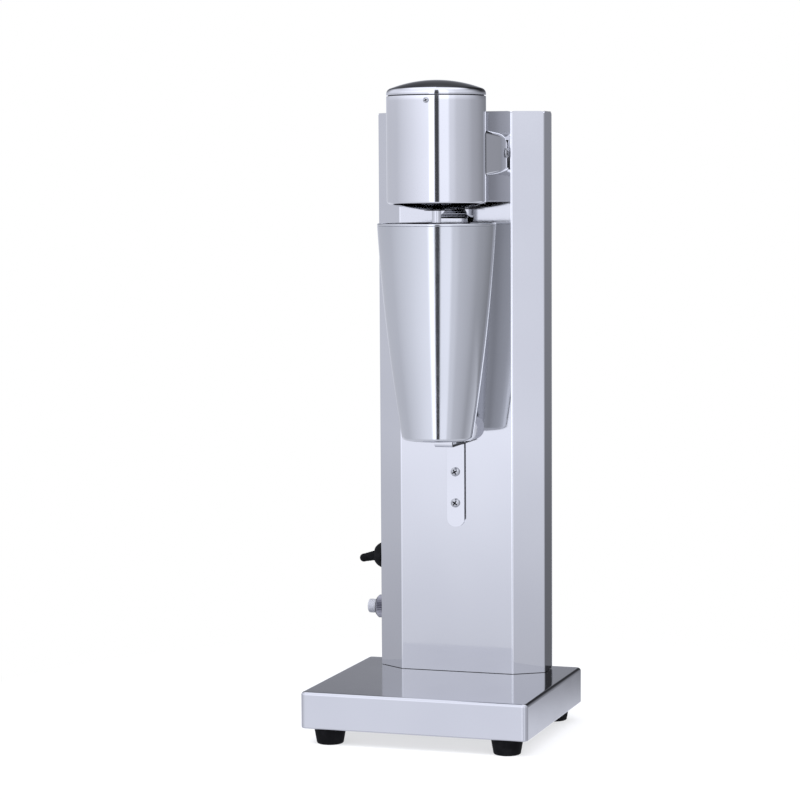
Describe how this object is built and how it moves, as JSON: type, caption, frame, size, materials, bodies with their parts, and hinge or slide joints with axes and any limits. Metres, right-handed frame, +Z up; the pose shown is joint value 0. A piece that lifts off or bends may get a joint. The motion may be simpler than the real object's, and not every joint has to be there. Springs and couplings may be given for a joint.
{
  "type": "milkshake mixer",
  "caption": "Counter-top drink mixer: motor head with spindle and agitator tilts on a chamfered steel column over a square base; steel cup hangs from a rim hook and rests on a small ledge.",
  "frame": {"origin": "centre of the base's footprint, on the counter under the feet", "axes": "+Z up, -Y to the front where the cup hangs, +X to the right seen from the front; the switch side is -X"},
  "size_m": [0.171, 0.156, 0.4807],
  "materials": {
    "polished_steel": "mirror-polished stainless steel",
    "satin_steel": "satin stainless steel",
    "zinc_steel": "zinc-plated steel",
    "black_rubber": "matt moulded rubber",
    "black_plastic": "moulded",
    "grey_plastic": "moulded, slightly glossy",
    "motor_iron": "stacked laminations",
    "copper": "turned copper"
  },
  "bodies": {
    "stand": {"base_pan": "polished_steel", "base_bottom_plate": "zinc_steel", "foot_front_left": "black_rubber", "foot_front_right": "black_rubber", "foot_rear_left": "black_rubber", "foot_rear_right": "black_rubber", "foot_screw_front_left": "zinc_steel", "foot_screw_front_right": "zinc_steel", "foot_screw_rear_left": "zinc_steel", "foot_screw_rear_right": "zinc_steel", "column_shell": "polished_steel", "column_back_panel": "satin_steel", "column_top_cap": "polished_steel", "column_foot_bracket_left": "zinc_steel", "column_foot_bracket_right": "zinc_steel", "panel_screw_left_low": "zinc_steel", "panel_screw_left_high": "zinc_steel", "panel_screw_right_low": "zinc_steel", "panel_screw_right_high": "zinc_steel", "motor_lead": "black_rubber", "motor_lead_grommet": "black_rubber", "cord_grommet": "black_rubber", "terminal_block": "grey_plastic", "toggle_switch_case": "black_plastic", "breaker_case": "black_plastic", "toggle_boot_collar": "black_rubber", "breaker_ring": "zinc_steel", "hinge_bracket": "zinc_steel", "pivot_screw_left": "polished_steel", "pivot_screw_right": "polished_steel", "cup_ledge": "polished_steel", "ledge_screw_upper": "polished_steel", "ledge_screw_lower": "polished_steel", "cup_backrest": "polished_steel", "cup_rim_hook": "polished_steel"},
    "head": {"neck_cover": "polished_steel", "head_housing": "polished_steel", "head_top_cap": "polished_steel", "head_bottom_dish": "polished_steel", "cap_screw_front": "polished_steel", "cap_screw_right": "polished_steel", "cap_screw_left": "polished_steel", "motor_stator": "motor_iron", "motor_lower_bridge": "zinc_steel", "motor_upper_bridge": "zinc_steel", "lower_bearing": "zinc_steel", "upper_bearing": "zinc_steel", "brush_holder_left": "black_plastic", "brush_holder_right": "black_plastic", "spindle_seal": "black_rubber"},
    "rotor": {"armature": "motor_iron", "commutator": "copper", "motor_shaft": "zinc_steel", "cooling_fan": "black_plastic", "spindle": "polished_steel", "agitator": "polished_steel"},
    "cup": {"cup": "satin_steel"},
    "switch_lever": {"toggle_lever": "black_rubber"},
    "reset_plunger": {"reset_button": "grey_plastic"}
  },
  "joints": [
    {"name": "head_tilt", "type": "hinge", "parent": "stand", "child": "head", "pos_m": [0, 0.0258, 0.4278], "axis": [-1, 0, 0], "range_deg": [0, 15]},
    {"name": "spindle_spin", "type": "hinge", "parent": "head", "child": "rotor", "pos_m": [0, -0.013, 0.43], "axis": [0, 0, 1], "continuous": true},
    {"name": "cup_swing", "type": "hinge", "parent": "stand", "child": "cup", "pos_m": [0, 0.03, 0.3754], "axis": [-1, 0, 0], "range_deg": [0, 16.5]},
    {"name": "toggle_throw", "type": "hinge", "parent": "stand", "child": "switch_lever", "pos_m": [-0.0698, 0.058, 0.1217], "axis": [0, 1, 0], "range_deg": [0, 26]},
    {"name": "reset_press", "type": "slide", "parent": "stand", "child": "reset_plunger", "axis": [1, 0, 0], "range_m": [0, 0.003], "stiffness_N_per_m": 300}
  ],
  "couplings": [
    {"joint": "cup_swing", "follows": "head_tilt", "ratio": 1.1}
  ]
}
